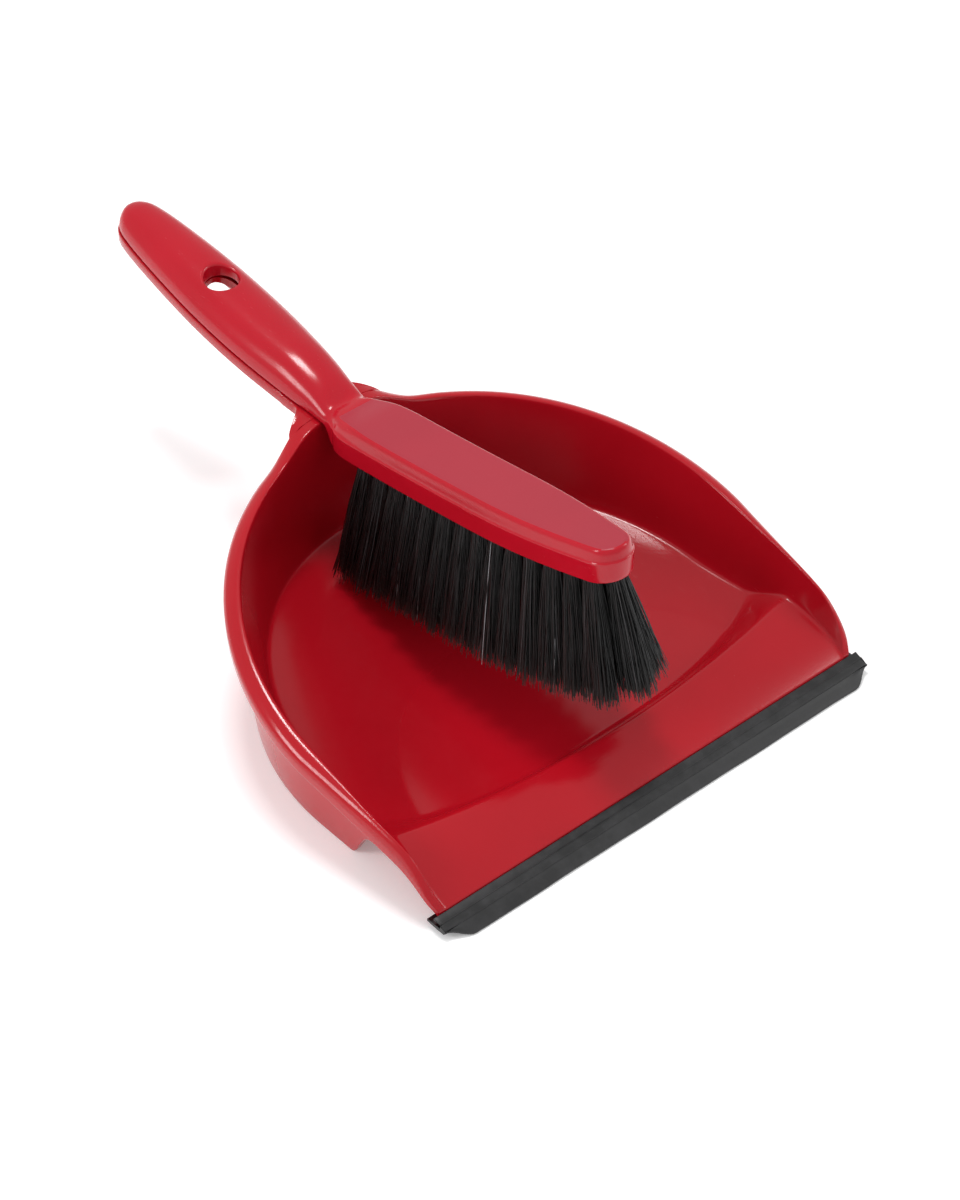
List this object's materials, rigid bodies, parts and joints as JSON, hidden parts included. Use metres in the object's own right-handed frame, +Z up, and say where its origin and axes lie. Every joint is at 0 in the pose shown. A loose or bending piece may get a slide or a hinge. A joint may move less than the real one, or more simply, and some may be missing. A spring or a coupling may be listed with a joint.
{
  "type": "dust pan and brush set",
  "caption": "Hand brush with flared bristle tufts stored over the handle of a dust pan with a rubber mouth lip.",
  "frame": {"origin": "middle of the whole set's base on the ground, halfway from the rubber lip's front to the handle's tip", "axes": "+X to the right across the mouth, +Y from the mouth to the handle's tip, +Z up"},
  "size_m": [0.22, 0.3148, 0.1043],
  "materials": {
    "pan_red": "glossy injection-moulded polypropylene, bright red",
    "lip_black": "satin soft rubber, black",
    "brush_red": "glossy moulded polypropylene, bright red, satin on the flat top",
    "bristle_black": "fine black synthetic bristle with frayed ends"
  },
  "bodies": {
    "dustpan": {"dustpan_body": "pan_red", "rubber_lip": "lip_black"},
    "brush": {"brush_block": "brush_red", "tuft_01": "bristle_black", "tuft_02": "bristle_black", "tuft_03": "bristle_black", "tuft_04": "bristle_black", "tuft_05": "bristle_black", "tuft_06": "bristle_black", "tuft_07": "bristle_black", "tuft_08": "bristle_black", "tuft_09": "bristle_black", "tuft_10": "bristle_black", "tuft_11": "bristle_black", "tuft_12": "bristle_black", "tuft_13": "bristle_black", "tuft_14": "bristle_black", "tuft_15": "bristle_black", "tuft_16": "bristle_black", "tuft_17": "bristle_black", "tuft_18": "bristle_black", "tuft_19": "bristle_black", "tuft_20": "bristle_black", "tuft_21": "bristle_black", "tuft_22": "bristle_black", "tuft_23": "bristle_black", "tuft_24": "bristle_black", "tuft_25": "bristle_black", "tuft_26": "bristle_black", "tuft_27": "bristle_black", "tuft_28": "bristle_black", "tuft_29": "bristle_black", "tuft_30": "bristle_black", "tuft_31": "bristle_black", "tuft_32": "bristle_black", "tuft_33": "bristle_black", "tuft_34": "bristle_black", "tuft_35": "bristle_black", "tuft_36": "bristle_black", "tuft_37": "bristle_black", "tuft_38": "bristle_black", "tuft_39": "bristle_black", "tuft_40": "bristle_black", "tuft_41": "bristle_black", "tuft_42": "bristle_black", "tuft_43": "bristle_black", "tuft_44": "bristle_black", "tuft_45": "bristle_black", "tuft_46": "bristle_black", "tuft_47": "bristle_black", "tuft_48": "bristle_black", "tuft_49": "bristle_black", "tuft_50": "bristle_black", "tuft_51": "bristle_black", "tuft_52": "bristle_black", "tuft_53": "bristle_black", "tuft_54": "bristle_black"}
  },
  "joints": [
    {"name": "brush_lift", "type": "slide", "parent": "dustpan", "child": "brush", "axis": [0, 0, 1], "range_m": [0, 0.12]}
  ]
}
